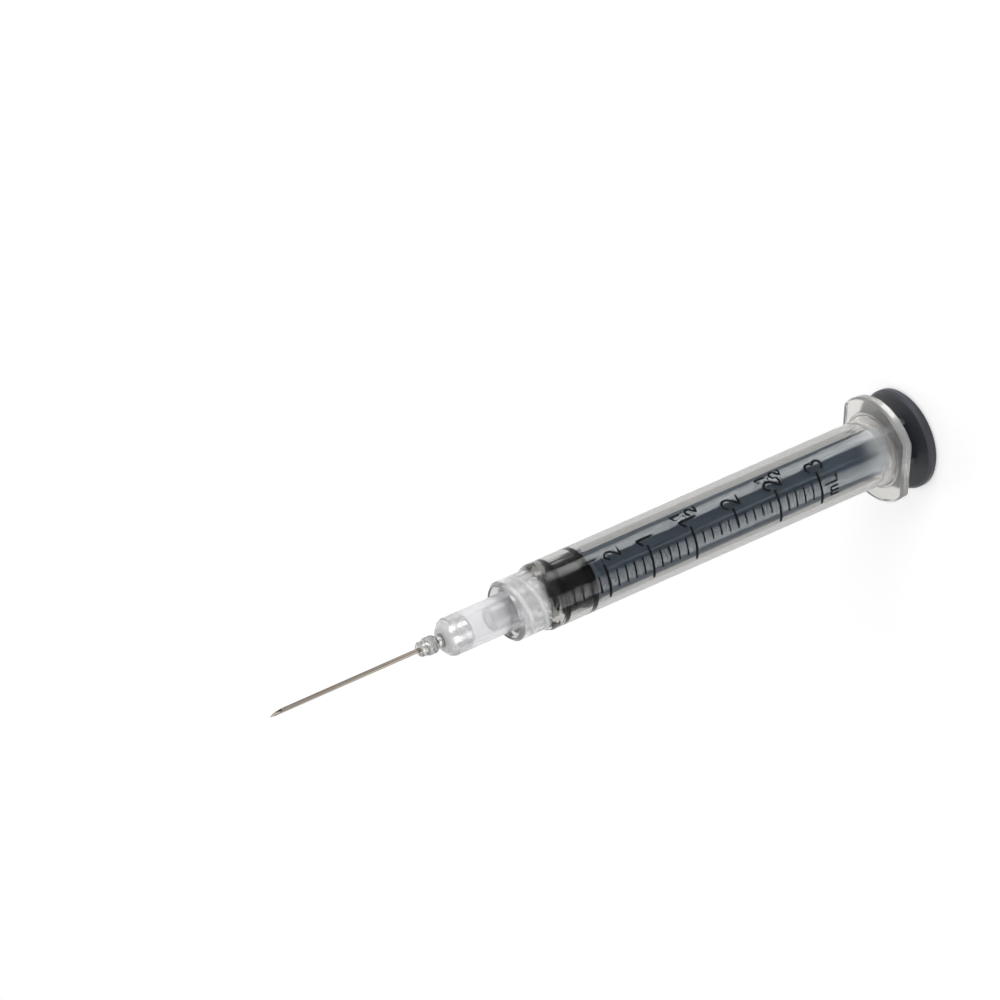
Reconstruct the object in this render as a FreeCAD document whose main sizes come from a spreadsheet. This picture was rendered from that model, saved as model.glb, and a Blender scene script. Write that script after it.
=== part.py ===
import FreeCAD, Part
import Sketcher
import os

# Three millilitre syringe with a locking collar and a fitted 25 mm needle.
# It stands on its thumb rest, needle up: Z runs along the axis, and the origin
# is the centre of the thumb rest's flat face.

DIMENSIONS = (
    # Plunger rod
    ("thumb_diameter", 16.3, "disc that the thumb presses"),
    ("thumb_thickness", 1.6, "thickness of that disc"),
    ("thumb_edge", 0.4, "chamfer of its rims"),
    ("rib_width", 7.8, "across opposite ribs of the cross"),
    ("rib_thickness", 1.1, "thickness of one rib"),
    ("rib_root", 0.4, "rounding where two ribs meet"),
    ("rib_flare", 0.9, "how far a rib widens at the thumb rest"),
    ("rib_flare_length", 1.6, "height over which it widens"),
    ("disc_diameter", 8.1, "pressure disc behind the stopper"),
    ("disc_thickness", 0.8, "thickness of the pressure disc"),
    ("snap_neck_diameter", 3.0, "neck between disc and snap head"),
    ("snap_neck_length", 1.2, "length of the neck"),
    ("snap_head_diameter", 4.6, "head that holds the stopper"),
    ("snap_head_length", 2.2, "length of the head"),
    ("snap_head_straight", 0.7, "straight part of the head before it tapers"),
    ("snap_tip_diameter", 2.2, "blunt tip of the head"),
    ("rod_turn", -17.0, "degrees that the cross is turned from the flange's flats"),
    # Barrel
    ("thumb_gap", 3.1, "between thumb rest and flange, plunger home"),
    ("flange_thickness", 1.7, "finger flange"),
    ("flange_diameter", 17.4, "across its round ends"),
    ("flange_flats", 14.8, "across its two flats"),
    ("flange_corner", 1.2, "rounding where a flat meets a round end"),
    ("flange_edge", 0.35, "chamfer of the flange's rims"),
    ("flange_fillet", 1.1, "fillet between flange and tube"),
    ("bore_diameter", 8.94, "chamber bore"),
    ("wall_front", 0.74, "tube wall at the shoulder"),
    ("wall_rear", 0.98, "tube wall at the flange"),
    ("chamber_depth", 63.85, "open end to the chamber's front corner"),
    ("chamber_cone", 0.85, "rise of the chamber's conical front"),
    ("front_wall", 0.7, "least wall between chamber and collar recess"),
    ("mouth_chamfer", 0.25, "lead-in of the open end"),
    ("bead_height", 0.12, "retaining bead above the bore"),
    ("bead_width", 1.0, "width of the bead where it leaves the bore"),
    ("bead_root", 0.3, "how deep the bead's section reaches into the wall"),
    ("bead_inset", 3.2, "open end to the bead"),
    ("recess_sink", 0.6, "how far the recess reaches below the shoulder"),
    ("shoulder_slope", 0.55, "height of the sloped shoulder"),
    ("shoulder_edge", 0.3, "chamfer between slope and tube"),
    ("collar_length", 5.4, "shoulder to the collar's mouth"),
    ("collar_diameter", 9.35, "outside of the locking collar"),
    ("collar_bore", 8.1, "inside of the locking collar"),
    ("collar_edge", 0.5, "chamfer of the collar's mouth"),
    ("collar_rib_height", 0.35, "how far the small ribs stand in from the collar's bore"),
    ("collar_rib_width", 0.3, "width of a small rib"),
    ("collar_rib_length", 2.7, "recess floor to the top of the small ribs"),
    ("nozzle_length", 8.9, "recess floor to the nozzle's tip"),
    ("nozzle_tip_diameter", 3.93, "male taper at its tip"),
    ("nozzle_edge", 0.15, "chamfer of the tip"),
    ("nozzle_channel", 1.9, "fluid channel"),
    ("luer_taper", 0.06, "growth of the taper's diameter for each unit of length"),
    # Stopper
    ("stopper_length", 6.3, "rear face to the front ring's edge"),
    ("front_ring", 1.3, "width of the front sealing ring"),
    ("rear_ring", 1.4, "width of the rear sealing ring"),
    ("waist_diameter", 7.9, "between the rings"),
    ("seal_gap", 0.03, "radial clearance of the rings in the bore"),
    ("home_gap", 0.05, "between stopper and chamber front, plunger home"),
    ("ring_edge", 0.2, "chamfer of the rings"),
    ("snap_gap", 0.06, "clearance of the snap head in its pocket"),
    # Needle hub
    ("hub_length", 13.6, "mouth to nose"),
    ("hub_diameter", 5.92, "outside of the hub"),
    ("hub_nose_diameter", 3.8, "end face of the nose"),
    ("hub_nose_length", 0.95, "height of the sloped nose"),
    ("hub_edge", 0.3, "chamfer between slope and shank"),
    ("hub_lip", 0.6, "plastic that closes over the insert"),
    ("hub_mouth_diameter", 4.3, "female taper at its mouth"),
    ("hub_mouth_chamfer", 0.2, "lead-in of the socket"),
    ("luer_gap", 0.02, "radial clearance left between the tapers"),
    ("lug_span", 7.83, "across the two locking lugs"),
    ("lug_width", 3.2, "width of a lug"),
    ("lug_height", 1.1, "height of a lug"),
    # Ferrule
    ("ferrule_reach", 4.0, "from the hub's nose to the ferrule's front face"),
    ("ferrule_ring_diameter", 2.3, "ring in front of the crimps"),
    ("ferrule_ring_width", 0.9, "width of that ring"),
    ("ferrule_edge", 0.2, "chamfer of the ring's front"),
    ("crimp_diameter", 2.8, "across opposite crimp ears"),
    ("crimp_length", 2.1, "length of the crimps"),
    ("crimp_flats", 1.96, "across opposite crimp faces"),
    ("crimp_slope", 0.45, "run-out at each end of a crimp face"),
    ("ferrule_neck_diameter", 2.1, "neck behind the crimps"),
    ("insert_diameter", 4.3, "part held in the hub"),
    ("insert_length", 3.5, "length of the part held in the hub"),
    ("insert_edge", 0.3, "chamfer of the insert's rims"),
    ("ferrule_turn", 4.0, "degrees that the crimps are turned"),
    # Cannula
    ("needle_length", 25.4, "ferrule face to needle point"),
    ("cannula_diameter", 0.72, "outside of the tube"),
    ("cannula_bore", 0.41, "inside of the tube"),
    ("cannula_seat", 6.0, "length held in the ferrule"),
    ("bevel_length", 2.9, "length of the slanted point"),
    ("lancet_length", 1.5, "length of the two side grinds"),
    ("lancet_turn", 32.0, "degrees that a side grind is turned"),
    ("bevel_turn", 0.0, "degrees that the bevel is turned"),
    ("grind_width", 1.5, "width of the grinding cuts"),
)

# Heights above the thumb rest's face, each worked out from the sizes below it
THUMB_TOP = "Sizes.thumb_thickness"
OPEN_END = f"({THUMB_TOP} + Sizes.thumb_gap)"
FLANGE_TOP = f"({OPEN_END} + Sizes.flange_thickness)"
BEAD = f"({OPEN_END} + Sizes.bead_inset)"
CHAMBER_CORNER = f"({OPEN_END} + Sizes.chamber_depth)"
CHAMBER_TOP = f"({CHAMBER_CORNER} + Sizes.chamber_cone)"
RECESS_FLOOR = f"({CHAMBER_TOP} + Sizes.front_wall)"
SHOULDER = f"({RECESS_FLOOR} + Sizes.recess_sink)"
SHOULDER_EDGE = f"({SHOULDER} - Sizes.shoulder_slope)"
COLLAR_MOUTH = f"({SHOULDER} + Sizes.collar_length)"
NOZZLE_TIP = f"({RECESS_FLOOR} + Sizes.nozzle_length)"
STOPPER_EDGE = f"({CHAMBER_CORNER} - Sizes.home_gap)"
STOPPER_TOP = f"({CHAMBER_TOP} - Sizes.home_gap)"
STOPPER_REAR = f"({STOPPER_EDGE} - Sizes.stopper_length)"
DISC_TOP = f"({STOPPER_REAR} - Sizes.snap_gap)"
DISC_BOTTOM = f"({DISC_TOP} - Sizes.disc_thickness)"
HEAD_BOTTOM = f"({DISC_TOP} + Sizes.snap_neck_length)"
HEAD_SHOULDER = f"({HEAD_BOTTOM} + Sizes.snap_head_straight)"
HEAD_TOP = f"({HEAD_BOTTOM} + Sizes.snap_head_length)"
TAPER = "(Sizes.luer_taper / 2)"
TIP_RADIUS = "(Sizes.nozzle_tip_diameter / 2)"
SEAT_DEPTH = f"((Sizes.hub_mouth_diameter / 2 - Sizes.luer_gap - {TIP_RADIUS}) / {TAPER})"
HUB_MOUTH = f"({NOZZLE_TIP} - {SEAT_DEPTH})"
HUB_NOSE = f"({HUB_MOUTH} + Sizes.hub_length)"
INSERT_TOP = f"({HUB_NOSE} - Sizes.hub_lip)"
INSERT_REAR = f"({INSERT_TOP} - Sizes.insert_length)"
FERRULE_FACE = f"({HUB_NOSE} + Sizes.ferrule_reach)"
CRIMP_TOP = f"({FERRULE_FACE} - Sizes.ferrule_ring_width)"
CRIMP_BOTTOM = f"({CRIMP_TOP} - Sizes.crimp_length)"
NEEDLE_POINT = f"({FERRULE_FACE} + Sizes.needle_length)"

ROD_RIBS = 4
COLLAR_RIBS = 20
LUGS = 2
CRIMPS = 4
FULL_TURN = 360.0
NEAR = 1e-4

document = FreeCAD.newDocument("Syringe")
sheet = document.addObject("Spreadsheet::Sheet", "Sizes")
for row, (alias, size, meaning) in enumerate(DIMENSIONS, start=1):
    sheet.set(f"A{row}", meaning)
    sheet.set(f"B{row}", str(size))
    sheet.setAlias(f"B{row}", alias)
document.recompute()


def size(expression):
    """Value of an expression over the sheet's sizes."""
    found = sheet.evalExpression(expression)
    return float(getattr(found, "Value", found))


def origin_plane(body, role):
    return next(item for item in body.Origin.OriginFeatures if item.Role == role)


def new_body(name):
    body = document.addObject("PartDesign::Body", name)
    body.Label = name
    return body


def new_sketch(body, name, role, height=None, turn=None):
    """Sketch on an origin plane, raised along Z or turned about it."""
    sketch = body.newObject("Sketcher::SketchObject", name)
    sketch.AttachmentSupport = (origin_plane(body, role), [""])
    sketch.MapMode = "FlatFace"
    if height:
        sketch.setExpression("AttachmentOffset.Base.z", height)
    if turn:
        sketch.AttachmentOffset = FreeCAD.Placement(
            FreeCAD.Vector(), FreeCAD.Rotation(FreeCAD.Vector(0, 1, 0), 1.0)
        )
        sketch.setExpression("AttachmentOffset.Rotation.Angle", turn)
    return sketch


def bind_point(sketch, geometry, end, across, along):
    """Fix one point of a sketch at two expressions, or on an axis where one is zero."""
    for kind, axis, expression in (("DistanceX", -2, across), ("DistanceY", -1, along)):
        if expression == "0":
            sketch.addConstraint(Sketcher.Constraint("PointOnObject", geometry, end, axis))
        else:
            place = size(expression)
            index = sketch.addConstraint(
                Sketcher.Constraint(kind, -1, 1, geometry, end, place)
            )
            sketch.setExpression(f"Constraints[{index}]", expression)


def draw_outline(sketch, corners):
    """Closed outline of straight lines through corners given as pairs of expressions."""
    places = [FreeCAD.Vector(size(across), size(along), 0) for across, along in corners]
    lines = []
    for start, stop in zip(places, places[1:] + places[:1]):
        lines.append(sketch.addGeometry(Part.LineSegment(start, stop)))
    for line, following in zip(lines, lines[1:] + lines[:1]):
        sketch.addConstraint(Sketcher.Constraint("Coincident", line, 2, following, 1))
    for line, (across, along) in zip(lines, corners):
        bind_point(sketch, line, 1, across, along)
    return lines


def draw_circle(sketch, across, along, radius):
    centre = FreeCAD.Vector(size(across), size(along), 0)
    circle = sketch.addGeometry(Part.Circle(centre, FreeCAD.Vector(0, 0, 1), size(radius)))
    bind_point(sketch, circle, 3, across, along)
    index = sketch.addConstraint(Sketcher.Constraint("Radius", circle, size(radius)))
    sketch.setExpression(f"Constraints[{index}]", radius)
    return circle


def turned(body, name, kind, corners):
    """Solid of revolution about Z, added or cut away."""
    sketch = new_sketch(body, f"{name}_outline", "XZ_Plane")
    draw_outline(sketch, corners)
    feature = body.newObject(f"PartDesign::{kind}", name)
    feature.Profile = sketch
    feature.ReferenceAxis = (sketch, ["V_Axis"])
    feature.Angle = FULL_TURN
    document.recompute()
    return feature


def extruded(body, name, kind, sketch, length, both_ways=False):
    feature = body.newObject(f"PartDesign::{kind}", name)
    feature.Profile = sketch
    feature.setExpression("Length", length)
    if both_ways:
        feature.SideType = "Symmetric"
    document.recompute()
    return feature


def repeat_about_axis(body, name, feature, count):
    pattern = body.newObject("PartDesign::PolarPattern", name)
    pattern.Originals = [feature]
    pattern.Axis = (origin_plane(body, "Z_Axis"), [""])
    pattern.Angle = FULL_TURN
    pattern.Occurrences = count
    body.Tip = pattern
    document.recompute()
    return pattern


def round_edges(body, name, radius, chosen, kind="Fillet"):
    """Fillet or chamfer the body's edges for which chosen(edge) holds."""
    base = body.Tip
    edges = [f"Edge{n}" for n, edge in enumerate(base.Shape.Edges, start=1) if chosen(edge)]
    if not edges:
        raise RuntimeError(f"{name}: no edge to work on")
    feature = body.newObject(f"PartDesign::{kind}", name)
    feature.Base = (base, edges)
    feature.setExpression("Radius" if kind == "Fillet" else "Size", radius)
    document.recompute()
    return feature


def ring_edge(radius, height):
    """Test for a circular edge about Z with this radius and height."""
    wanted_radius = size(radius)
    wanted_height = size(height)

    def chosen(edge):
        curve = edge.Curve
        return (
            isinstance(curve, Part.Circle)
            and abs(curve.Radius - wanted_radius) < NEAR
            and abs(curve.Center.z - wanted_height) < NEAR
            and abs(curve.Center.x) < NEAR
            and abs(curve.Center.y) < NEAR
        )

    return chosen


def edges_at(height):
    """Test for an edge that lies wholly at one height."""
    wanted = size(height)

    def chosen(edge):
        box = edge.BoundBox
        return abs(box.ZMin - wanted) < NEAR and abs(box.ZMax - wanted) < NEAR

    return chosen


def edges_beyond(radius, height):
    """Test for edges at one height whose middle lies at or outside a radius."""
    least = size(radius) - NEAR
    level = edges_at(height)

    def chosen(edge):
        middle = edge.valueAt((edge.FirstParameter + edge.LastParameter) / 2)
        return level(edge) and (middle.x**2 + middle.y**2) ** 0.5 > least

    return chosen


def upright_edges_beyond(radius, low, high):
    """Test for straight edges along Z outside a radius, between two heights."""
    least = size(radius)
    bottom = size(low) - NEAR
    top = size(high) + NEAR

    def chosen(edge):
        first = edge.Vertexes[0].Point
        last = edge.Vertexes[-1].Point
        return (
            abs(first.x - last.x) < NEAR
            and abs(first.y - last.y) < NEAR
            and edge.Length > NEAR
            and min(first.z, last.z) > bottom
            and max(first.z, last.z) < top
            and (first.x**2 + first.y**2) ** 0.5 > least
        )

    return chosen


def build_barrel():
    """Clear moulding: nozzle, locking collar, tube and finger flange."""
    body = new_body("barrel")
    bore = "(Sizes.bore_diameter / 2)"
    tube_front = f"({bore} + Sizes.wall_front)"
    tube_rear = f"({bore} + Sizes.wall_rear)"
    collar = "(Sizes.collar_diameter / 2)"
    collar_bore = "(Sizes.collar_bore / 2)"
    channel = "(Sizes.nozzle_channel / 2)"
    nozzle_root = f"({TIP_RADIUS} + Sizes.nozzle_length * {TAPER})"
    turned(
        body,
        "tube_and_collar",
        "Revolution",
        (
            (channel, NOZZLE_TIP),
            (TIP_RADIUS, NOZZLE_TIP),
            (nozzle_root, RECESS_FLOOR),
            (collar_bore, RECESS_FLOOR),
            (collar_bore, COLLAR_MOUTH),
            (collar, COLLAR_MOUTH),
            (collar, SHOULDER),
            (tube_front, SHOULDER_EDGE),
            (tube_rear, FLANGE_TOP),
            (tube_rear, OPEN_END),
            (bore, OPEN_END),
            (bore, CHAMBER_CORNER),
            (channel, CHAMBER_TOP),
        ),
    )
    flange = new_sketch(body, "flange_outline", "XY_Plane", OPEN_END)
    draw_flange(flange)
    draw_circle(flange, "0", "0", f"({bore} + Sizes.wall_rear / 2)")
    extruded(body, "flange", "Pad", flange, "Sizes.flange_thickness")
    bead_half = f"(Sizes.bead_width / 2 * (1 + Sizes.bead_root / Sizes.bead_height))"
    turned(
        body,
        "retaining_bead",
        "Revolution",
        (
            (f"({bore} + Sizes.bead_root)", f"({BEAD} - {bead_half})"),
            (f"({bore} - Sizes.bead_height)", BEAD),
            (f"({bore} + Sizes.bead_root)", f"({BEAD} + {bead_half})"),
        ),
    )
    round_edges(
        body,
        "flange_corners",
        "Sizes.flange_corner",
        upright_edges_beyond("Sizes.flange_flats / 2", OPEN_END, FLANGE_TOP),
    )
    round_edges(body, "flange_root", "Sizes.flange_fillet", ring_edge(tube_rear, FLANGE_TOP))
    rims = [edges_beyond("Sizes.flange_flats / 2", height) for height in (OPEN_END, FLANGE_TOP)]
    round_edges(
        body,
        "flange_rims",
        "Sizes.flange_edge",
        lambda edge: any(chosen(edge) for chosen in rims),
        "Chamfer",
    )
    round_edges(
        body,
        "shoulder_corner",
        "Sizes.shoulder_edge",
        ring_edge(tube_front, SHOULDER_EDGE),
        "Chamfer",
    )
    round_edges(
        body, "collar_corner", "Sizes.collar_edge", ring_edge(collar, COLLAR_MOUTH), "Chamfer"
    )
    round_edges(
        body, "nozzle_corner", "Sizes.nozzle_edge", ring_edge(TIP_RADIUS, NOZZLE_TIP), "Chamfer"
    )
    round_edges(body, "lead_in", "Sizes.mouth_chamfer", ring_edge(bore, OPEN_END), "Chamfer")
    add_collar_ribs(body)
    return body


def add_collar_ribs(body):
    """Ring of small upright ribs at the foot of the collar's bore."""
    outline = new_sketch(body, "collar_rib_outline", "XZ_Plane")
    crest = "(Sizes.collar_bore / 2 - Sizes.collar_rib_height)"
    root = "((Sizes.collar_bore + Sizes.collar_diameter) / 4)"
    rib_top = f"({RECESS_FLOOR} + Sizes.collar_rib_length)"
    draw_outline(
        outline,
        ((crest, RECESS_FLOOR), (root, RECESS_FLOOR), (root, rib_top), (crest, rib_top)),
    )
    one_rib = extruded(
        body, "collar_rib", "Pad", outline, "Sizes.collar_rib_width", both_ways=True
    )
    repeat_about_axis(body, "collar_ribs", one_rib, COLLAR_RIBS)


def draw_flange(sketch):
    """Round plate with two parallel flats facing along Y."""
    radius = size("Sizes.flange_diameter / 2")
    half = size("Sizes.flange_flats / 2")
    reach = (radius**2 - half**2) ** 0.5
    right = Part.Arc(
        FreeCAD.Vector(reach, -half, 0), FreeCAD.Vector(radius, 0, 0), FreeCAD.Vector(reach, half, 0)
    )
    left = Part.Arc(
        FreeCAD.Vector(-reach, half, 0),
        FreeCAD.Vector(-radius, 0, 0),
        FreeCAD.Vector(-reach, -half, 0),
    )
    far = Part.LineSegment(FreeCAD.Vector(reach, half, 0), FreeCAD.Vector(-reach, half, 0))
    near = Part.LineSegment(FreeCAD.Vector(-reach, -half, 0), FreeCAD.Vector(reach, -half, 0))
    sides = [sketch.addGeometry(item) for item in (right, far, left, near)]
    for side, following in zip(sides, sides[1:] + sides[:1]):
        sketch.addConstraint(Sketcher.Constraint("Coincident", side, 2, following, 1))
    for arc in (sides[0], sides[2]):
        sketch.addConstraint(Sketcher.Constraint("Coincident", arc, 3, -1, 1))
    for flat in (sides[1], sides[3]):
        sketch.addConstraint(Sketcher.Constraint("Horizontal", flat))
    sketch.addConstraint(Sketcher.Constraint("Equal", sides[0], sides[2]))
    sketch.addConstraint(Sketcher.Constraint("Equal", sides[1], sides[3]))
    diameter = sketch.addConstraint(Sketcher.Constraint("Diameter", sides[0], 2 * radius))
    sketch.setExpression(f"Constraints[{diameter}]", "Sizes.flange_diameter")
    apart = sketch.addConstraint(
        Sketcher.Constraint("DistanceY", sides[3], 2, sides[1], 1, 2 * half)
    )
    sketch.setExpression(f"Constraints[{apart}]", "Sizes.flange_flats")


def build_stopper():
    """Rubber stopper: two sealing rings, a waist, and a pocket for the snap head."""
    body = new_body("stopper")
    ring = "(Sizes.bore_diameter / 2 - Sizes.seal_gap)"
    waist = "(Sizes.waist_diameter / 2)"
    neck = "(Sizes.snap_neck_diameter / 2 + Sizes.snap_gap)"
    pocket = "(Sizes.snap_head_diameter / 2 + Sizes.snap_gap)"
    pocket_tip = "(Sizes.snap_tip_diameter / 2 + Sizes.snap_gap)"
    front_ring_low = f"({STOPPER_EDGE} - Sizes.front_ring)"
    rear_ring_top = f"({STOPPER_REAR} + Sizes.rear_ring)"
    turned(
        body,
        "rings_and_cone",
        "Revolution",
        (
            ("0", STOPPER_TOP),
            ("(Sizes.nozzle_channel / 2)", STOPPER_TOP),
            (ring, STOPPER_EDGE),
            (ring, front_ring_low),
            (waist, front_ring_low),
            (waist, rear_ring_top),
            (ring, rear_ring_top),
            (ring, STOPPER_REAR),
            ("0", STOPPER_REAR),
        ),
    )
    turned(
        body,
        "snap_pocket",
        "Groove",
        (
            ("0", STOPPER_REAR),
            (neck, STOPPER_REAR),
            (neck, f"({HEAD_BOTTOM} - Sizes.snap_gap)"),
            (pocket, f"({HEAD_BOTTOM} - Sizes.snap_gap)"),
            (pocket, HEAD_SHOULDER),
            (pocket_tip, f"({HEAD_TOP} + Sizes.snap_gap)"),
            ("0", f"({HEAD_TOP} + Sizes.snap_gap)"),
        ),
    )
    levels = [
        ring_edge(ring, height)
        for height in (STOPPER_EDGE, front_ring_low, rear_ring_top, STOPPER_REAR)
    ]
    round_edges(
        body,
        "ring_corners",
        "Sizes.ring_edge",
        lambda edge: any(chosen(edge) for chosen in levels),
        "Chamfer",
    )
    return body


def build_plunger_rod():
    """Dark moulding: thumb rest, cross of four ribs, pressure disc and snap head."""
    body = new_body("plunger_rod")
    thumb = "(Sizes.thumb_diameter / 2)"
    disc = "(Sizes.disc_diameter / 2)"
    neck = "(Sizes.snap_neck_diameter / 2)"
    head = "(Sizes.snap_head_diameter / 2)"
    tip = "(Sizes.snap_tip_diameter / 2)"
    rib = "(Sizes.rib_width / 2)"
    core = "(Sizes.rib_thickness / 2)"
    turned(
        body,
        "thumb_rest_and_head",
        "Revolution",
        (
            ("0", "0"),
            (thumb, "0"),
            (thumb, THUMB_TOP),
            (core, THUMB_TOP),
            (core, DISC_BOTTOM),
            (disc, DISC_BOTTOM),
            (disc, DISC_TOP),
            (neck, DISC_TOP),
            (neck, HEAD_BOTTOM),
            (head, HEAD_BOTTOM),
            (head, HEAD_SHOULDER),
            (tip, HEAD_TOP),
            ("0", HEAD_TOP),
        ),
    )
    rims = [ring_edge(thumb, height) for height in ("0", THUMB_TOP)]
    round_edges(
        body,
        "thumb_rims",
        "Sizes.thumb_edge",
        lambda edge: any(chosen(edge) for chosen in rims),
        "Chamfer",
    )
    outline = new_sketch(body, "rib_outline", "XZ_Plane")
    flare = f"({rib} + Sizes.rib_flare)"
    draw_outline(
        outline,
        (
            ("0", THUMB_TOP),
            (flare, THUMB_TOP),
            (rib, f"({THUMB_TOP} + Sizes.rib_flare_length)"),
            (rib, DISC_BOTTOM),
            ("0", DISC_BOTTOM),
        ),
    )
    one_rib = extruded(body, "rib", "Pad", outline, "Sizes.rib_thickness", both_ways=True)
    repeat_about_axis(body, "ribs", one_rib, ROD_RIBS)
    round_edges(
        body,
        "rib_roots",
        "Sizes.rib_root",
        inner_corner_edges(THUMB_TOP, DISC_BOTTOM),
    )
    body.setExpression("Placement.Rotation.Angle", "Sizes.rod_turn")
    return body


def inner_corner_edges(low, high):
    """Test for the long upright edges where two ribs meet."""
    shortest = (size(high) - size(low)) / 2
    core = size("Sizes.rib_thickness")

    def chosen(edge):
        first = edge.Vertexes[0].Point
        last = edge.Vertexes[-1].Point
        return (
            edge.Length > shortest
            and abs(first.x - last.x) < NEAR
            and abs(first.y - last.y) < NEAR
            and (first.x**2 + first.y**2) ** 0.5 < core
        )

    return chosen


def build_needle_hub():
    """Clear hub: sloped nose, female taper and two locking lugs."""
    body = new_body("needle_hub")
    shank = "(Sizes.hub_diameter / 2)"
    neck = "(Sizes.ferrule_neck_diameter / 2)"
    insert = "(Sizes.insert_diameter / 2)"
    mouth = "(Sizes.hub_mouth_diameter / 2)"
    socket_end = f"({mouth} - ({INSERT_REAR} - {HUB_MOUTH}) * {TAPER})"
    turned(
        body,
        "shell",
        "Revolution",
        (
            (neck, HUB_NOSE),
            ("(Sizes.hub_nose_diameter / 2)", HUB_NOSE),
            (shank, f"({HUB_NOSE} - Sizes.hub_nose_length)"),
            (shank, HUB_MOUTH),
            (mouth, HUB_MOUTH),
            (socket_end, INSERT_REAR),
            (insert, INSERT_REAR),
            (insert, INSERT_TOP),
            (neck, INSERT_TOP),
        ),
    )
    round_edges(
        body,
        "nose_corner",
        "Sizes.hub_edge",
        ring_edge(shank, f"({HUB_NOSE} - Sizes.hub_nose_length)"),
        "Chamfer",
    )
    round_edges(
        body, "socket_lead_in", "Sizes.hub_mouth_chamfer", ring_edge(mouth, HUB_MOUTH), "Chamfer"
    )
    lug = new_sketch(body, "lug_outline", "XY_Plane", HUB_MOUTH)
    draw_lug(lug)
    one_lug = extruded(body, "lug", "Pad", lug, "Sizes.lug_height")
    repeat_about_axis(body, "lugs", one_lug, LUGS)
    return body


def draw_lug(sketch):
    """Block between two arcs: one inside the hub's wall, one on the lugs' span."""
    outer = size("Sizes.lug_span / 2")
    inner = size("(Sizes.hub_mouth_diameter + Sizes.hub_diameter) / 4")
    half = size("Sizes.lug_width / 2")
    far_reach = (outer**2 - half**2) ** 0.5
    near_reach = (inner**2 - half**2) ** 0.5
    bow = Part.Arc(
        FreeCAD.Vector(far_reach, -half, 0),
        FreeCAD.Vector(outer, 0, 0),
        FreeCAD.Vector(far_reach, half, 0),
    )
    root = Part.Arc(
        FreeCAD.Vector(near_reach, half, 0),
        FreeCAD.Vector(inner, 0, 0),
        FreeCAD.Vector(near_reach, -half, 0),
    )
    upper = Part.LineSegment(
        FreeCAD.Vector(far_reach, half, 0), FreeCAD.Vector(near_reach, half, 0)
    )
    lower = Part.LineSegment(
        FreeCAD.Vector(near_reach, -half, 0), FreeCAD.Vector(far_reach, -half, 0)
    )
    bow, upper, root, lower = (sketch.addGeometry(item) for item in (bow, upper, root, lower))
    for arc in (bow, root):
        sketch.addConstraint(Sketcher.Constraint("Coincident", arc, 3, -1, 1))
    sketch.addConstraint(Sketcher.Constraint("Coincident", bow, 2, upper, 1))
    sketch.addConstraint(Sketcher.Constraint("Coincident", upper, 2, root, 2))
    sketch.addConstraint(Sketcher.Constraint("Coincident", root, 1, lower, 1))
    sketch.addConstraint(Sketcher.Constraint("Coincident", lower, 2, bow, 1))
    for side in (upper, lower):
        sketch.addConstraint(Sketcher.Constraint("Horizontal", side))
    for arc, place, expression in (
        (bow, outer, "Sizes.lug_span / 2"),
        (root, inner, "(Sizes.hub_mouth_diameter + Sizes.hub_diameter) / 4"),
    ):
        index = sketch.addConstraint(Sketcher.Constraint("Radius", arc, place))
        sketch.setExpression(f"Constraints[{index}]", expression)
    for side, sign in ((upper, 1), (lower, -1)):
        index = sketch.addConstraint(
            Sketcher.Constraint("DistanceY", -1, 1, side, 1, sign * half)
        )
        sketch.setExpression(f"Constraints[{index}]", f"{sign} * Sizes.lug_width / 2")


def build_ferrule():
    """Metal insert: front ring, four-sided crimp, neck and the part held in the hub."""
    body = new_body("ferrule")
    hole = "(Sizes.cannula_diameter / 2)"
    ring = "(Sizes.ferrule_ring_diameter / 2)"
    ear = "(Sizes.crimp_diameter / 2)"
    neck = "(Sizes.ferrule_neck_diameter / 2)"
    insert = "(Sizes.insert_diameter / 2)"
    turned(
        body,
        "blank",
        "Revolution",
        (
            (hole, FERRULE_FACE),
            (ring, FERRULE_FACE),
            (ring, CRIMP_TOP),
            (ear, f"({CRIMP_TOP} - Sizes.crimp_slope)"),
            (ear, f"({CRIMP_BOTTOM} + Sizes.crimp_slope)"),
            (neck, CRIMP_BOTTOM),
            (neck, INSERT_TOP),
            (insert, INSERT_TOP),
            (insert, INSERT_REAR),
            (hole, INSERT_REAR),
        ),
    )
    round_edges(
        body, "ring_corner", "Sizes.ferrule_edge", ring_edge(ring, FERRULE_FACE), "Chamfer"
    )
    face = new_sketch(body, "crimp_face", "XZ_Plane")
    flat = "(Sizes.crimp_flats / 2)"
    beyond = "(Sizes.crimp_diameter / 2 + Sizes.crimp_slope)"
    draw_outline(
        face,
        (
            (flat, f"({CRIMP_TOP} - Sizes.crimp_slope)"),
            (beyond, f"({CRIMP_TOP} + Sizes.crimp_slope)"),
            (beyond, f"({CRIMP_BOTTOM} - Sizes.crimp_slope)"),
            (flat, f"({CRIMP_BOTTOM} + Sizes.crimp_slope)"),
        ),
    )
    cut = extruded(body, "crimp", "Pocket", face, "Sizes.crimp_diameter", both_ways=True)
    repeat_about_axis(body, "crimps", cut, CRIMPS)
    rims = [ring_edge(insert, INSERT_TOP), ring_edge(insert, INSERT_REAR)]
    round_edges(
        body,
        "insert_rims",
        "Sizes.insert_edge",
        lambda edge: any(chosen(edge) for chosen in rims),
        "Chamfer",
    )
    body.setExpression("Placement.Rotation.Angle", "Sizes.ferrule_turn")
    return body


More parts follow.
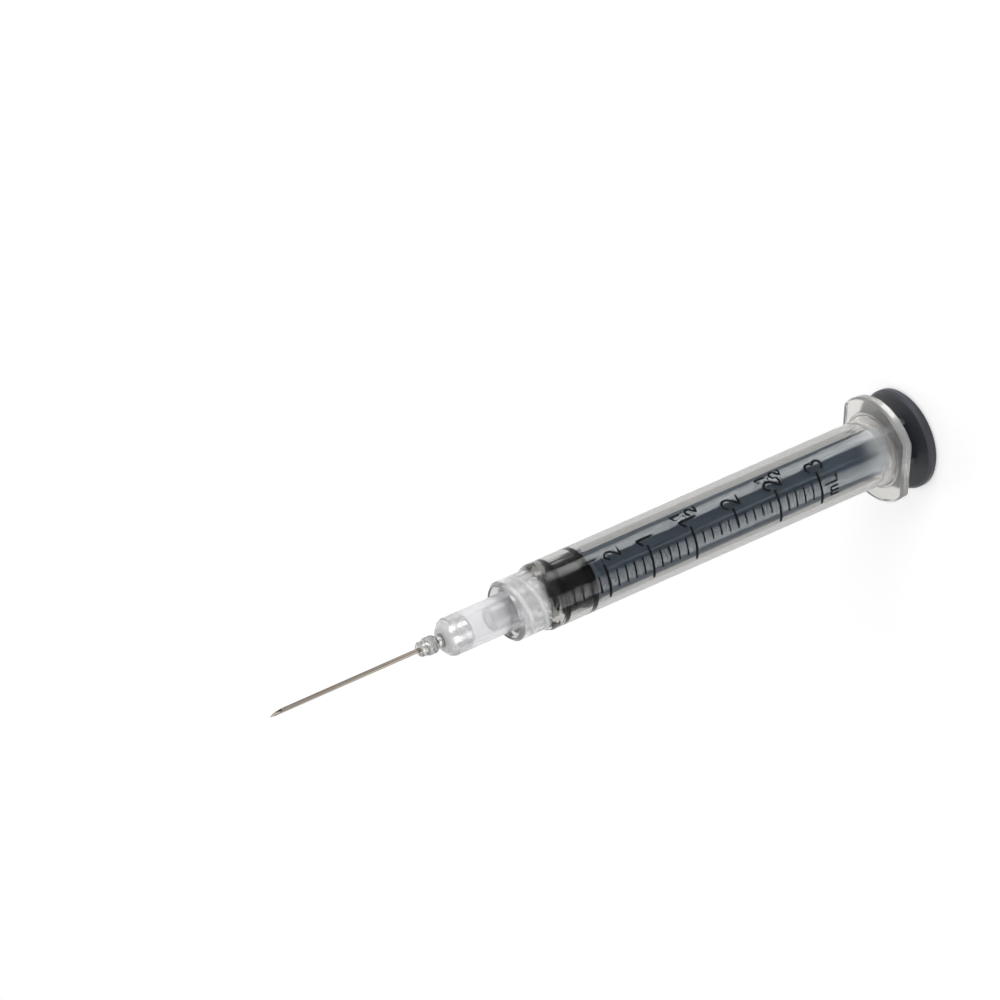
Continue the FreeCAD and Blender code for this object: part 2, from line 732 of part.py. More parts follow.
def build_cannula():
    """Steel tube with a slanted point and two side grinds."""
    body = new_body("cannula")
    outside = "(Sizes.cannula_diameter / 2)"
    inside = "(Sizes.cannula_bore / 2)"
    rear = f"({FERRULE_FACE} - Sizes.cannula_seat)"
    turned(
        body,
        "tube",
        "Revolution",
        ((inside, rear), (outside, rear), (outside, NEEDLE_POINT), (inside, NEEDLE_POINT)),
    )
    grind(body, "bevel", "Sizes.bevel_length", None)
    for side, sign in (("left", "-"), ("right", "")):
        grind(body, f"{side}_grind", "Sizes.lancet_length", f"{sign}Sizes.lancet_turn")
    body.setExpression("Placement.Rotation.Angle", "Sizes.bevel_turn")
    return body


def grind(body, name, length, turn):
    """Plane cut that runs down from the needle's point, on the plus X side."""
    sketch = new_sketch(body, f"{name}_wedge", "XZ_Plane", turn=turn)
    point = "(-Sizes.cannula_diameter / 2)"
    side = "(Sizes.cannula_diameter / 2)"
    beyond = "Sizes.cannula_diameter"
    draw_outline(
        sketch,
        (
            (point, NEEDLE_POINT),
            (side, f"({NEEDLE_POINT} - {length})"),
            (beyond, f"({NEEDLE_POINT} - {length})"),
            (beyond, f"({NEEDLE_POINT} + {side})"),
            (point, f"({NEEDLE_POINT} + {side})"),
        ),
    )
    extruded(body, name, "Pocket", sketch, "Sizes.grind_width", both_ways=True)


def check_and_export(bodies):
    """Stop on any failed object, then write each sub-part to its own file."""
    document.recompute()
    for item in document.Objects:
        if {"Invalid", "Error"} & set(item.State):
            raise RuntimeError(f"{item.Name} failed: {item.State}")
    for body in bodies:
        if body.Shape.isNull() or not body.Shape.isValid() or len(body.Shape.Solids) != 1:
            raise RuntimeError(f"{body.Label} has no single valid solid")
    os.makedirs("parts", exist_ok=True)
    for body in bodies:
        body.Shape.exportStep(f"parts/{body.Label}.step")


check_and_export(
    [
        build_barrel(),
        build_stopper(),
        build_plunger_rod(),
        build_needle_hub(),
        build_ferrule(),
        build_cannula(),
    ]
)
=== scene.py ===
import math

import bpy
from mathutils import Matrix, Vector


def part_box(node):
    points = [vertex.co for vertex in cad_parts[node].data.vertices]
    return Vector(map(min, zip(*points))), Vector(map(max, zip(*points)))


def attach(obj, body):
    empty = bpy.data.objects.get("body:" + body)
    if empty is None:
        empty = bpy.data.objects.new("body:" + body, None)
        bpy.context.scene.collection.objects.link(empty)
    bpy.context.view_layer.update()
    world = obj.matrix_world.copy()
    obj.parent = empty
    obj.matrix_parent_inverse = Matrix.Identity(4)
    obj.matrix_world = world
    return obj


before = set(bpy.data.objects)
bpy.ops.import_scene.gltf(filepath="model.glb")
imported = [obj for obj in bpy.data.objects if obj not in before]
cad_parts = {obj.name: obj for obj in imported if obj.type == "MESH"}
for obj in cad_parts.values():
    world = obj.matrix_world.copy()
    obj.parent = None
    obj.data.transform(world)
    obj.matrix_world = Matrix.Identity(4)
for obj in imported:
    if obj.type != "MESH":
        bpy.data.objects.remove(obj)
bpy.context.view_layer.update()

MM = 0.001

# Camera, from a fit to the photograph: it looks at the syringe from beside its needle end
CAMERA_AZIMUTH = math.radians(42.0)
CAMERA_ELEVATION = math.radians(27.3)
CAMERA_ROLL = math.radians(-112.9)
CAMERA_DISTANCE = 513.25 * MM
CAMERA_AIM = Vector((11.41, 10.28, 69.48)) * MM
CAMERA_LENS = 126.0
SENSOR_WIDTH = 36.0

# Outside of the tube, a slight cone
TUBE_FRONT_RADIUS = 5.21 * MM
TUBE_REAR_RADIUS = 5.45 * MM
TUBE_FRONT_HEIGHT = 70.25 * MM
TUBE_REAR_HEIGHT = 6.4 * MM

# Printed scale. Its angles run round the tube from the direction that faces the camera.
FACING = math.radians(-48.0)
INK_LIFT = 0.016 * MM
INK_THICKNESS = 0.012 * MM
ZERO_HEIGHT = 68.5 * MM
STROKE_PER_ML = 47.8 / 3 * MM
TICK_COUNT = 30
TICK_STEPS = 14
STROKE_END_STEPS = 6
SHORT_TICK = (math.radians(-35.0), math.radians(-8.0))
LONG_TICK = (math.radians(-49.0), math.radians(6.0))
SHORT_TICK_WIDTH = 0.28 * MM
LONG_TICK_WIDTH = 0.43 * MM
# These ticks end early, beside the place that stays bare
CUT_TENTHS = range(16, 25)
CUT_SHORT = math.radians(-25.0)

# Numbers, fractions and unit of the scale, one label at each half millilitre
LABEL_COUNT = 6
LABEL_START = math.radians(9.5)
GLYPH_HEIGHT = 2.95 * MM
GLYPH_STROKE = 0.41 * MM
LONE_FRACTION_START = LABEL_START + math.radians(2)
LONE_FRACTION_HEIGHT = 0.88 * GLYPH_HEIGHT
LONE_FRACTION_STROKE = 0.32 * MM
HALF_START = LABEL_START + math.radians(17)
HALF_HEIGHT = 0.6 * GLYPH_HEIGHT
HALF_STROKE = 0.33 * MM
HALF_WIDENING = 1.2
FRACTION_GAP = 0.28
FRACTION_BAR = 0.4
UNIT_HEIGHT = 2.25 * MM
UNIT_STROKE = 0.27 * MM
UNIT_BELOW_LAST_TICK = 3.1 * MM
UNIT_M_START = math.radians(-41)
UNIT_L_START = math.radians(-19)


def tube_radius(height):
    """Outside radius of the tube at a height."""
    share = (height - TUBE_REAR_HEIGHT) / (TUBE_FRONT_HEIGHT - TUBE_REAR_HEIGHT)
    return TUBE_REAR_RADIUS + share * (TUBE_FRONT_RADIUS - TUBE_REAR_RADIUS)


def on_tube(angle, height):
    """Point just off the tube's surface, at an angle of the scale and a height."""
    radius = tube_radius(height) + INK_LIFT
    return Vector(
        (
            radius * math.cos(FACING + angle),
            radius * math.sin(FACING + angle),
            height,
        )
    )


# Materials. Fades are heights where one finish of a piece runs into the next, and on the rod
# where its own colour runs into a copy painted lighter.

NOISE_BAND = (0.3, 0.7)
PLASTIC_IOR = 1.49
# Share of a white reflection that the tube shows, low so that its dark core stays dark
BARREL_SHEEN = 0.11
BARREL_ABSORBS = (0.08, 0.04, 0.0)
BARREL_DENSITY = 110
CREASE_SHADE = 0.2
HEAD_FADE = (3.0 * MM, 5.0 * MM)
FLANGE_FADE = (7.2 * MM, 12.5 * MM)
COLLAR_FADE = (70.3 * MM, 71.3 * MM)
NOSE_FADE = (85.7 * MM, 86.7 * MM)


def new_material(name):
    """Material with its node tree and its shader."""
    material = bpy.data.materials.new(name)
    material.use_nodes = True
    shader = material.node_tree.nodes["Principled BSDF"]
    return material, material.node_tree, shader


def noise(tree, scale, detail=3.0, stretch=(1, 1, 1)):
    """Noise in the object's own space, in cells to the metre."""
    nodes, links = tree.nodes, tree.links
    place = nodes.new("ShaderNodeTexCoord")
    mapping = nodes.new("ShaderNodeMapping")
    mapping.inputs["Scale"].default_value = stretch
    texture = nodes.new("ShaderNodeTexNoise")
    texture.inputs["Scale"].default_value = scale
    texture.inputs["Detail"].default_value = detail
    links.new(place.outputs["Object"], mapping.inputs["Vector"])
    links.new(mapping.outputs["Vector"], texture.inputs["Vector"])
    return texture.outputs["Fac"]


def ranged(tree, source, low, high):
    """Noise value spread over a range."""
    spread = tree.nodes.new("ShaderNodeMapRange")
    spread.inputs["From Min"].default_value = NOISE_BAND[0]
    spread.inputs["From Max"].default_value = NOISE_BAND[1]
    spread.inputs["To Min"].default_value = low
    spread.inputs["To Max"].default_value = high
    tree.links.new(source, spread.inputs["Value"])
    return spread.outputs["Result"]


def blend(tree, mask, low, high):
    """Number that runs from one source to another with a mask."""
    mix = tree.nodes.new("ShaderNodeMix")
    mix.data_type = "FLOAT"
    tree.links.new(mask, mix.inputs["Factor"])
    for socket, value in ((mix.inputs["A"], low), (mix.inputs["B"], high)):
        if isinstance(value, float):
            socket.default_value = value
        else:
            tree.links.new(value, socket)
    return mix.outputs["Result"]


def blend_colour(tree, mask, low, high):
    """Colour that runs from one source to another with a mask."""
    mix = tree.nodes.new("ShaderNodeMix")
    mix.data_type = "RGBA"
    tree.links.new(mask, mix.inputs["Factor"])
    for socket, value in ((mix.inputs["A"], low), (mix.inputs["B"], high)):
        if isinstance(value, tuple):
            socket.default_value = (*value, 1)
        else:
            tree.links.new(value, socket)
    return mix.outputs["Result"]


def vary(tree, source, low, high, socket):
    """Spread a noise value over a range and feed a socket with it."""
    tree.links.new(ranged(tree, source, low, high), socket)


def tint(tree, source, dark, light, socket):
    """Feed a socket with a colour that a noise value runs between two."""
    tree.links.new(blend_colour(tree, source, dark, light), socket)


def bump(tree, shader, source, depth, strength=1.0, edge=0.0):
    """Fine relief, over edges rounded to a radius."""
    node = tree.nodes.new("ShaderNodeBump")
    if edge:
        rounded = tree.nodes.new("ShaderNodeBevel")
        rounded.samples = 8
        rounded.inputs["Radius"].default_value = edge
        tree.links.new(rounded.outputs["Normal"], node.inputs["Normal"])
    node.inputs["Distance"].default_value = depth
    node.inputs["Strength"].default_value = strength
    tree.links.new(source, node.inputs["Height"])
    tree.links.new(node.outputs["Normal"], shader.inputs["Normal"])


def height_mask(tree, low, high):
    """One above the high height, none below the low one, along the object's own axis."""
    place = tree.nodes.new("ShaderNodeTexCoord")
    split = tree.nodes.new("ShaderNodeSeparateXYZ")
    spread = tree.nodes.new("ShaderNodeMapRange")
    spread.interpolation_type = "SMOOTHSTEP"
    spread.inputs["From Min"].default_value = low
    spread.inputs["From Max"].default_value = high
    tree.links.new(place.outputs["Object"], split.inputs["Vector"])
    tree.links.new(split.outputs["Z"], spread.inputs["Value"])
    return spread.outputs["Result"]


def absorb(tree, colour, density):
    """Grey that deepens with the plastic's thickness, density in parts to the metre."""
    volume = tree.nodes.new("ShaderNodeVolumeAbsorption")
    volume.inputs["Color"].default_value = (*colour, 1)
    volume.inputs["Density"].default_value = density
    tree.links.new(volume.outputs[0], tree.nodes["Material Output"].inputs["Volume"])


def barrel_plastic():
    """Polypropylene: polished and clear on the tube, matt at the flange and the collar."""
    material, tree, shader = new_material("barrel_plastic")
    shader.inputs["IOR"].default_value = PLASTIC_IOR
    shader.inputs["Specular Tint"].default_value = (BARREL_SHEEN, BARREL_SHEEN, BARREL_SHEEN, 1)
    above_flange = height_mask(tree, *FLANGE_FADE)
    collar = height_mask(tree, *COLLAR_FADE)
    clear = blend_colour(tree, noise(tree, 260), (0.60, 0.603, 0.599), (0.64, 0.643, 0.636))
    colour = blend_colour(tree, above_flange, (0.97, 0.965, 0.945), clear)
    colour = blend_colour(tree, collar, colour, (0.89, 0.892, 0.902))
    tree.links.new(colour, shader.inputs["Base Color"])
    gloss = blend(tree, above_flange, 0.11, ranged(tree, noise(tree, 420, 4), 0.02, 0.05))
    gloss = blend(tree, collar, gloss, ranged(tree, noise(tree, 600, 4), 0.06, 0.14))
    tree.links.new(gloss, shader.inputs["Roughness"])
    clarity = blend(tree, above_flange, 0.87, 1.0)
    clarity = blend(tree, collar, clarity, 0.84)
    tree.links.new(clarity, shader.inputs["Transmission Weight"])
    bump(tree, shader, noise(tree, 700, 2), 0.004 * MM, 1.0, 0.25 * MM)
    absorb(tree, BARREL_ABSORBS, BARREL_DENSITY)
    return material


def thread_plastic():
    """Plastic of the thread's crests, painted whiter than the collar as a highlight where light
    gathers.
    """
    material, tree, shader = new_material("thread_plastic")
    shader.inputs["IOR"].default_value = PLASTIC_IOR
    shader.inputs["Transmission Weight"].default_value = 0.45
    tint(
        tree,
        noise(tree, 260),
        (0.95, 0.955, 0.96),
        (0.99, 0.99, 0.99),
        shader.inputs["Base Color"],
    )
    vary(tree, noise(tree, 420, 4), 0.08, 0.16, shader.inputs["Roughness"])
    bump(tree, shader, noise(tree, 900, 2), 0.004 * MM)
    return material


def hub_plastic():
    """Milky polypropylene of the needle's hub."""
    material, tree, shader = new_material("hub_plastic")
    shader.inputs["IOR"].default_value = PLASTIC_IOR
    nose = height_mask(tree, *NOSE_FADE)
    tree.links.new(blend(tree, nose, 0.80, 0.30), shader.inputs["Transmission Weight"])
    shank = blend_colour(tree, noise(tree, 260), (0.80, 0.80, 0.815), (0.84, 0.84, 0.853))
    colour = blend_colour(tree, nose, shank, (0.96, 0.96, 0.965))
    tree.links.new(colour, shader.inputs["Base Color"])
    vary(tree, noise(tree, 420, 4), 0.10, 0.18, shader.inputs["Roughness"])
    bump(tree, shader, noise(tree, 900, 2), 0.006 * MM, 1.0, 0.2 * MM)
    return material


def rod_plastic():
    """Slate plastic of the rod; its part inside the barrel is a copy painted lighter."""
    material, tree, shader = new_material("slate_plastic")
    shader.inputs["Specular IOR Level"].default_value = 0.35
    grain = noise(tree, 350, 5)
    head = blend_colour(tree, grain, (0.030, 0.033, 0.040), (0.044, 0.048, 0.058))
    # Painted light: inside the barrel the slate is painted lighter, standing in for the light and
    # reflections that the tube lays over it.
    core = blend_colour(tree, grain, (0.086, 0.117, 0.156), (0.120, 0.160, 0.208))
    inside = height_mask(tree, *HEAD_FADE)
    tree.links.new(blend_colour(tree, inside, head, core), shader.inputs["Base Color"])
    vary(tree, noise(tree, 900, 4), 0.28, 0.44, shader.inputs["Roughness"])
    bump(tree, shader, noise(tree, 5200, 3), 0.01 * MM, 0.5, 0.3 * MM)
    return material


def stopper_rubber():
    """Black rubber, nearly without gloss where it wets the bore."""
    material, tree, shader = new_material("black_rubber")
    shader.inputs["Specular IOR Level"].default_value = 0.06
    tint(
        tree,
        noise(tree, 500, 4),
        (0.0015, 0.0018, 0.0022),
        (0.004, 0.0046, 0.0055),
        shader.inputs["Base Color"],
    )
    vary(tree, noise(tree, 1400, 4), 0.2, 0.36, shader.inputs["Roughness"])
    bump(tree, shader, noise(tree, 6000, 2), 0.01 * MM, 0.4)
    return material


def metal(name, dark, light, gloss, stretch, depth, crease):
    """Bright metal with painted shade in its creases, its grain streaked dark and light partly as
    painted reflection.
    """
    material, tree, shader = new_material(name)
    shader.inputs["Metallic"].default_value = 1.0
    # Grain for relief and colour; its strong dark-to-light spread in colour is partly painted
    # reflection of dark and bright surroundings.
    grain = noise(tree, 1500, 5, stretch)
    grain_and_painted_reflection = ranged(tree, grain, 0.0, 1.0)
    bright = blend_colour(tree, grain_and_painted_reflection, dark, light)
    # Painted shade: the colour darkens in creases and hollows, where less light reaches.
    crease_shade_mask = tree.nodes.new("ShaderNodeAmbientOcclusion")
    crease_shade_mask.samples = 8
    crease_shade_mask.only_local = True
    crease_shade_mask.inputs["Distance"].default_value = crease
    shade = tuple(CREASE_SHADE * part for part in dark)
    colour = blend_colour(tree, crease_shade_mask.outputs["AO"], shade, bright)
    tree.links.new(colour, shader.inputs["Base Color"])
    vary(tree, noise(tree, 2200, 4, stretch), gloss[0], gloss[1], shader.inputs["Roughness"])
    bump(tree, shader, grain, depth, 0.6)
    return material


def printing_ink():
    """Matt black ink."""
    material, tree, shader = new_material("printing_ink")
    tint(
        tree,
        noise(tree, 3000, 4),
        (0.002, 0.0022, 0.0025),
        (0.006, 0.0065, 0.007),
        shader.inputs["Base Color"],
    )
    shader.inputs["Specular IOR Level"].default_value = 0.02
    vary(tree, noise(tree, 5000, 3), 0.5, 0.7, shader.inputs["Roughness"])
    bump(tree, shader, noise(tree, 9000, 2), 0.003 * MM)
    return material


BARREL_PLASTIC = barrel_plastic()
THREAD_PLASTIC = thread_plastic()
HUB_PLASTIC = hub_plastic()
SLATE = rod_plastic()
RUBBER = stopper_rubber()
ALUMINIUM = metal(
    "aluminium",
    dark=(0.17, 0.17, 0.165),
    light=(0.62, 0.62, 0.61),
    gloss=(0.14, 0.26),
    stretch=(1, 1, 3),
    depth=0.004 * MM,
    crease=1.2 * MM,
)
# Long dark and light streaks along the needle: steel grain and painted reflection.
STEEL = metal(
    "needle_steel",
    dark=(0.06, 0.042, 0.03),
    light=(0.66, 0.60, 0.53),
    gloss=(0.12, 0.24),
    stretch=(2.2, 2.2, 0.01),
    depth=0.003 * MM,
    crease=0.1 * MM,
)
INK = printing_ink()


def dress(node, material):
    """Give a CAD node one material."""
    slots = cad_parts[node].data.materials
    slots.clear()
    slots.append(material)


for node_name, finish in (
    ("barrel", BARREL_PLASTIC),
    ("stopper", RUBBER),
    ("plunger_rod", SLATE),
    ("needle_hub", HUB_PLASTIC),
    ("ferrule", ALUMINIUM),
    ("cannula", STEEL),
):
    dress(node_name, finish)


def new_piece(name, vertices, faces, material, body):
    """Smooth shaded piece made of vertices and faces, riding on a body."""
    mesh = bpy.data.meshes.new(name)
    mesh.from_pydata([tuple(v) for v in vertices], [], faces)
    mesh.update()
    for face in mesh.polygons:
        face.use_smooth = True
    mesh.materials.append(material)
    piece = bpy.data.objects.new(name, mesh)
    bpy.context.scene.collection.objects.link(piece)
    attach(piece, body)
    return piece


# Printed scale: each mark is a thin strip laid on the tube


def print_on_tube(name, vertices, faces):
    """Piece of ink with a thickness, on the barrel."""
    piece = new_piece(name, vertices, faces, INK, "barrel")
    layer = piece.modifiers.new("thickness", "SOLIDIFY")
    layer.thickness = INK_THICKNESS
    layer.offset = -1


def strip(points, width):
    """Ribbon of a width along points of the unrolled tube, as (angle, height), round ended."""
    radius = tube_radius(points[0][1])
    flat = [Vector((angle * radius, height)) for angle, height in points]
    vertices, faces = [], []
    count = len(flat)
    for index, here in enumerate(flat):
        before = flat[max(index - 1, 0)]
        after = flat[min(index + 1, count - 1)]
        along = (after - before).normalized()
        aside = Vector((-along.y, along.x)) * width / 2
        vertices += [here + aside, here - aside]
    for index in range(count - 1):
        corner = 2 * index
        faces.append((corner, corner + 1, corner + 3, corner + 2))
    for end, away in ((0, flat[0] - flat[1]), (count - 1, flat[-1] - flat[-2])):
        outward = away.normalized()
        aside = Vector((-outward.y, outward.x))
        fan = []
        for step in range(STROKE_END_STEPS + 1):
            turn = math.pi * step / STROKE_END_STEPS - math.pi / 2
            spoke = outward * math.cos(turn) + aside * math.sin(turn)
            fan.append(len(vertices))
            vertices.append(flat[end] + spoke * width / 2)
        faces.append(tuple(fan))
    return [on_tube(v.x / radius, v.y) for v in vertices], faces


def join(parts):
    """One list of vertices and faces from several."""
    vertices, faces = [], []
    for some_vertices, some_faces in parts:
        offset = len(vertices)
        vertices += some_vertices
        faces += [tuple(corner + offset for corner in face) for face in some_faces]
    return vertices, faces


def tick(tenth):
    """One graduation line, longer at each half millilitre."""
    height = ZERO_HEIGHT - tenth * STROKE_PER_ML / 10
    long = tenth % 5 == 0
    first, last = LONG_TICK if long else SHORT_TICK
    if tenth in CUT_TENTHS:
        first = CUT_SHORT
    across = (last - first) / TICK_STEPS
    points = [(first + across * step, height) for step in range(TICK_STEPS + 1)]
    return strip(points, LONG_TICK_WIDTH if long else SHORT_TICK_WIDTH)


print_on_tube("scale_ticks", *join([tick(tenth) for tenth in range(1, TICK_COUNT + 1)]))


def bow(centre, radii, start, stop, steps=14):
    """Points of an elliptic arc in glyph space, angles in degrees."""
    points = []
    for step in range(steps + 1):
        turn = math.radians(start + (stop - start) * step / steps)
        points.append(
            (centre[0] + radii[0] * math.cos(turn), centre[1] + radii[1] * math.sin(turn))
        )
    return points


def fine(points, steps=6):
    """Points of straight runs, closely spaced so that they bend with the tube."""
    spaced = []
    for (x0, y0), (x1, y1) in zip(points, points[1:]):
        spaced += [(x0 + (x1 - x0) * s / steps, y0 + (y1 - y0) * s / steps) for s in range(steps)]
    return spaced + [points[-1]]


# Glyph strokes in a box one unit high
ONE = [fine([(0.05, 0.74), (0.36, 1.0), (0.36, 0.0)])]
TWO = [
    bow((0.24, 0.73), (0.23, 0.27), 170, -28)
    + fine([(0.43, 0.54), (0.02, 0.0), (0.5, 0.0)])
]
THREE = [
    bow((0.25, 0.75), (0.23, 0.25), 138, -80) + bow((0.24, 0.26), (0.27, 0.26), 80, -145),
]
LOWER_M = [
    fine([(0.0, 0.62), (0.0, 0.0)]),
    bow((0.15, 0.42), (0.15, 0.2), 170, 0) + fine([(0.3, 0.4), (0.3, 0.0)]),
    bow((0.45, 0.42), (0.15, 0.2), 180, 0) + fine([(0.6, 0.4), (0.6, 0.0)]),
]
UPPER_L = [fine([(0.0, 1.0), (0.0, 0.0), (0.44, 0.0)])]
BAR = [fine([(0.0, 0.0), (0.5, 0.0)])]


def glyph(strokes, start, base, height, stroke, wide=1.0):
    """Strokes laid on the tube from an angle on, with their foot at a height."""
    across = wide * height / tube_radius(base)
    return [
        strip([(start + x * across, base + y * height) for x, y in line], stroke)
        for line in strokes
    ]


def fraction(start, height, size, stroke, wide=1.0):
    """One over two, the numerator towards the needle and the bar at the mark."""
    return (
        glyph(ONE, start, height + FRACTION_GAP * size, size, stroke, wide)
        + glyph(BAR, start, height, size, FRACTION_BAR * stroke, wide)
        + glyph(TWO, start, height - (1 + FRACTION_GAP) * size, size, stroke, wide)
    )


def label(halves):
    """Number beside the long tick at so many half millilitres."""
    whole, half = divmod(halves, 2)
    height = ZERO_HEIGHT - halves / 2 * STROKE_PER_ML
    if not whole:
        return fraction(LONE_FRACTION_START, height, LONE_FRACTION_HEIGHT, LONE_FRACTION_STROKE)
    digit = {1: ONE, 2: TWO, 3: THREE}[whole]
    parts = glyph(digit, LABEL_START, height - GLYPH_HEIGHT / 2, GLYPH_HEIGHT, GLYPH_STROKE)
    if half:
        parts += fraction(HALF_START, height, HALF_HEIGHT, HALF_STROKE, HALF_WIDENING)
    return parts


numbers = []
for halves in range(1, LABEL_COUNT + 1):
    numbers += label(halves)
print_on_tube("scale_numbers", *join(numbers))

unit_base = ZERO_HEIGHT - TICK_COUNT / 10 * STROKE_PER_ML - UNIT_BELOW_LAST_TICK
unit = glyph(LOWER_M, UNIT_M_START, unit_base, UNIT_HEIGHT, UNIT_STROKE)
unit += glyph(UPPER_L, UNIT_L_START, unit_base, UNIT_HEIGHT, UNIT_STROKE)
print_on_tube("scale_unit", *join(unit))


# Where the stopper's rings press on the bore they touch it all round

CONTACT_INSIDE = 4.35 * MM
CONTACT_RADIUS = 4.485 * MM
CONTACT_SIDES = 96
# Each one's lower and upper edge, above the stopper's rear
CONTACTS = ((0.25 * MM, 1.15 * MM), (5.25 * MM, 6.05 * MM))


def contact_band(low, high):
    """Ring of rubber from inside the stopper's ring to a hair inside the bore's wall."""
    section = (
        (CONTACT_INSIDE, low),
        (CONTACT_RADIUS, low),
        (CONTACT_RADIUS, high),
        (CONTACT_INSIDE, high),
    )
    vertices, faces = [], []
    for index in range(CONTACT_SIDES):
        angle = math.tau * index / CONTACT_SIDES
        vertices += [(r * math.cos(angle), r * math.sin(angle), z) for r, z in section]
        here, ahead = 4 * index, 4 * ((index + 1) % CONTACT_SIDES)
        for side in range(4):
            after = (side + 1) % 4
            faces.append((here + side, ahead + side, ahead + after, here + after))
    return vertices, faces


stopper_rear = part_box("stopper")[0][2]
new_piece(
    "seal_contacts",
    *join([contact_band(stopper_rear + low, stopper_rear + high) for low, high in CONTACTS]),
    RUBBER,
    "stopper",
)

# Locking thread inside the collar: two starts, clear of the hub's lugs

THREAD_LEAD = 5.0 * MM
THREAD_STARTS = 2
THREAD_PHASE = 72.8 * MM
THREAD_LOW = 70.75 * MM
THREAD_HIGH = 75.55 * MM
THREAD_ROOT_RADIUS = 4.12 * MM
THREAD_CREST_RADIUS = 3.6 * MM
THREAD_ROOT_HALF = 0.42 * MM
THREAD_CREST_HALF = 0.15 * MM
THREAD_RUN_OUT = math.radians(25)
THREAD_STEP = math.radians(4)


def thread(start):
    """Ridge of one start, with both ends run out into the wall."""
    pitch = THREAD_LEAD / THREAD_STARTS
    per_turn = THREAD_LEAD / math.tau
    first = (THREAD_LOW - THREAD_PHASE - start * pitch) / per_turn
    last = (THREAD_HIGH - THREAD_PHASE - start * pitch) / per_turn
    count = round((last - first) / THREAD_STEP)
    vertices, faces = [], []
    for index in range(count + 1):
        angle = first + (last - first) * index / count
        ends = min(angle - first, last - angle) / THREAD_RUN_OUT
        crest = THREAD_ROOT_RADIUS - (THREAD_ROOT_RADIUS - THREAD_CREST_RADIUS) * min(1.0, ends)
        height = THREAD_PHASE + start * pitch + angle * per_turn
        for radius, offset in (
            (THREAD_ROOT_RADIUS, -THREAD_ROOT_HALF),
            (crest, -THREAD_CREST_HALF),
            (crest, THREAD_CREST_HALF),
            (THREAD_ROOT_RADIUS, THREAD_ROOT_HALF),
        ):
            vertices.append(
                (radius * math.cos(angle), radius * math.sin(angle), height + offset)
            )
    for index in range(count):
        here, ahead = 4 * index, 4 * index + 4
        for side in range(4):
            after = (side + 1) % 4
            faces.append((here + side, here + after, ahead + after, ahead + side))
    faces.append((3, 2, 1, 0))
    top = 4 * count
    faces.append((top, top + 1, top + 2, top + 3))
    return vertices, faces


new_piece(
    "collar_thread",
    *join([thread(start) for start in range(THREAD_STARTS)]),
    THREAD_PLASTIC,
    "barrel",
)


# Floor, light and camera

FLOOR_SIZE = 4.0
FLOOR_DROP = 0.02 * MM
FLOOR_COLOUR = (0.8, 0.8, 0.8, 1)
FLOOR_GLOW = 0.5
WORLD_LEVEL = 0.5
WORLD_SEEN = 1.0
LAMP_AIM = Vector((0, 0, 60 * MM))
PANEL_REACH = 152 * MM
PANEL_HEIGHT = 0.05 * MM
PANEL_STEPS = 12


def seen_rays(tree):
    """One for rays that show the background: camera, glossy and transmission rays."""
    rays = tree.nodes.new("ShaderNodeLightPath")
    total = rays.outputs["Is Camera Ray"]
    for name in ("Is Glossy Ray", "Is Transmission Ray"):
        add = tree.nodes.new("ShaderNodeMath")
        add.operation = "ADD"
        add.use_clamp = True
        tree.links.new(total, add.inputs[0])
        tree.links.new(rays.outputs[name], add.inputs[1])
        total = add.outputs[0]
    return total


def make_floor():
    """White floor that takes the object's shadow."""
    bpy.ops.mesh.primitive_plane_add(size=FLOOR_SIZE, location=(0, 0, -FLOOR_DROP))
    floor = bpy.context.object
    floor.name = "floor"
    material = bpy.data.materials.new("floor_white")
    material.use_nodes = True
    tree = material.node_tree
    nodes, links = tree.nodes, tree.links
    shader = nodes["Principled BSDF"]
    shader.inputs["Base Color"].default_value = FLOOR_COLOUR
    shader.inputs["Roughness"].default_value = 0.9
    glow = nodes.new("ShaderNodeEmission")
    glow.inputs["Strength"].default_value = FLOOR_GLOW
    both = nodes.new("ShaderNodeAddShader")
    mix = nodes.new("ShaderNodeMixShader")
    links.new(shader.outputs[0], both.inputs[0])
    links.new(glow.outputs[0], both.inputs[1])
    links.new(seen_rays(tree), mix.inputs[0])
    links.new(shader.outputs[0], mix.inputs[1])
    links.new(both.outputs[0], mix.inputs[2])
    links.new(mix.outputs[0], nodes["Material Output"].inputs["Surface"])
    floor.data.materials.append(material)


def make_world():
    """Even studio light, white where it is seen."""
    world = bpy.data.worlds.new("studio")
    world.use_nodes = True
    bpy.context.scene.world = world
    tree = world.node_tree
    background = tree.nodes["Background"]
    background.inputs["Color"].default_value = (1, 1, 1, 1)
    level = blend(tree, seen_rays(tree), WORLD_LEVEL, WORLD_SEEN)
    tree.links.new(level, background.inputs["Strength"])


def area_light(name, direction, distance, width, power):
    """Round soft lamp, aimed at the middle of the syringe."""
    data = bpy.data.lights.new(name, "AREA")
    data.shape = "DISK"
    data.size = width
    data.energy = power
    lamp = bpy.data.objects.new(name, data)
    toward = Vector(direction).normalized()
    lamp.location = LAMP_AIM + toward * distance
    lamp.rotation_euler = toward.to_track_quat("Z", "Y").to_euler()
    bpy.context.scene.collection.objects.link(lamp)


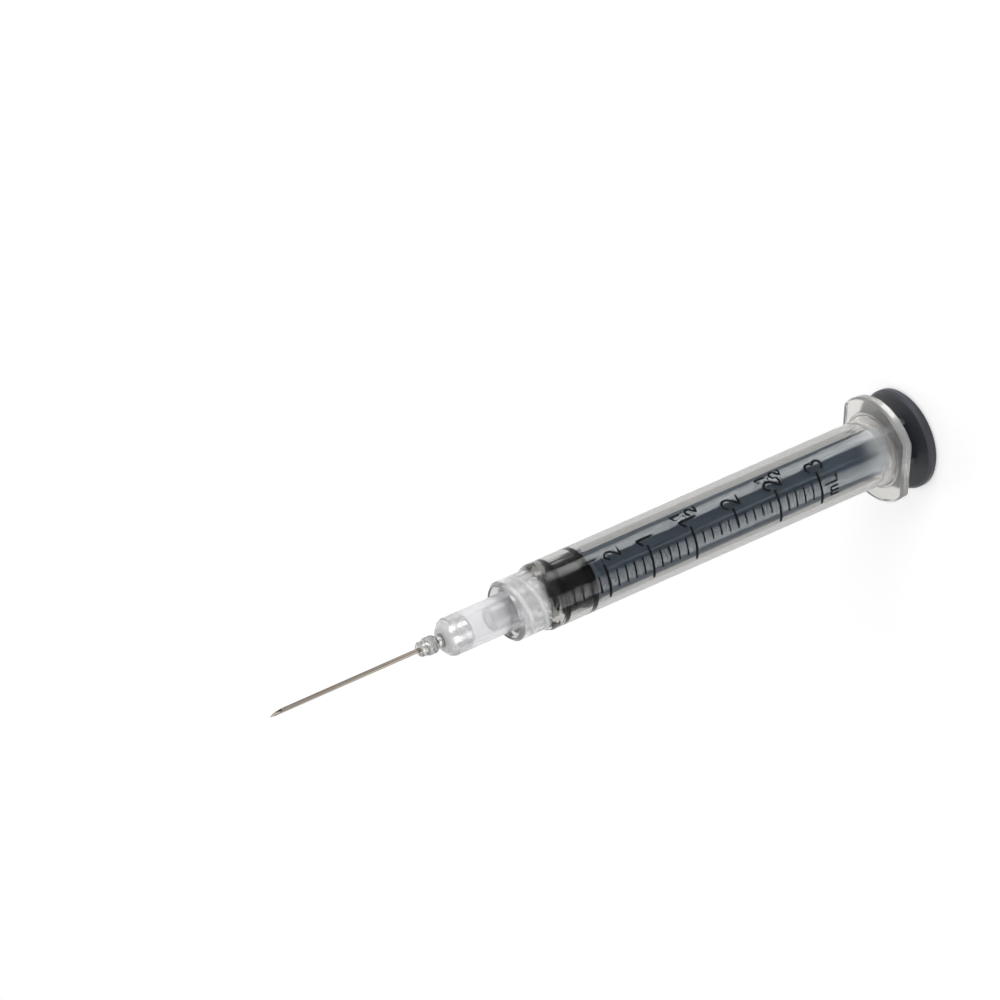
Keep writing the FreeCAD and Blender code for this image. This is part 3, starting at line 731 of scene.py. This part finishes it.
def floor_panel(name, left, right, near, strength):
    """Soft light lying on the floor, a sector of a ring round the object, angles in degrees."""
    corners = []
    for step in range(PANEL_STEPS + 1):
        angle = math.radians(left + (right - left) * step / PANEL_STEPS)
        for reach in (near, PANEL_REACH):
            corners.append((reach * math.cos(angle), reach * math.sin(angle), PANEL_HEIGHT))
    faces = [(2 * s, 2 * s + 1, 2 * s + 3, 2 * s + 2) for s in range(PANEL_STEPS)]
    mesh = bpy.data.meshes.new(name)
    mesh.from_pydata(corners, [], faces)
    panel = bpy.data.objects.new(name, mesh)
    bpy.context.scene.collection.objects.link(panel)
    material = bpy.data.materials.new(name)
    material.use_nodes = True
    tree = material.node_tree
    glow = tree.nodes.new("ShaderNodeEmission")
    glow.inputs["Strength"].default_value = strength
    tree.links.new(glow.outputs[0], tree.nodes["Material Output"].inputs["Surface"])
    mesh.materials.append(material)


def make_camera():
    """Camera at the photograph's viewing angle."""
    back = Vector(
        (
            math.sin(CAMERA_AZIMUTH) * math.cos(CAMERA_ELEVATION),
            -math.cos(CAMERA_AZIMUTH) * math.cos(CAMERA_ELEVATION),
            math.sin(CAMERA_ELEVATION),
        )
    )
    level = Vector((math.cos(CAMERA_AZIMUTH), math.sin(CAMERA_AZIMUTH), 0))
    right = Matrix.Rotation(CAMERA_ROLL, 3, back) @ level
    up = back.cross(right)
    data = bpy.data.cameras.new("camera")
    data.lens = CAMERA_LENS
    data.sensor_width = SENSOR_WIDTH
    data.clip_start = 10 * MM
    camera = bpy.data.objects.new("camera", data)
    place = CAMERA_AIM + back * CAMERA_DISTANCE
    turned = Matrix((right, up, back)).transposed().to_4x4()
    camera.matrix_world = Matrix.Translation(place) @ turned
    bpy.context.scene.collection.objects.link(camera)
    bpy.context.scene.camera = camera


make_floor()
make_world()
area_light("key", (1.0, -0.2, 0.55), distance=0.5, width=0.35, power=0.7)
area_light("rear", (-0.4, 1.0, 0.6), distance=0.6, width=0.4, power=0.4)
# The upright tube mirrors these two as its long highlights
floor_panel("low_key", left=-13.0, right=17.0, near=14 * MM, strength=14.0)
floor_panel("low_fill", left=-112.0, right=-68.0, near=19 * MM, strength=10.0)
make_camera()

bpy.context.scene.view_settings.view_transform = "Standard"
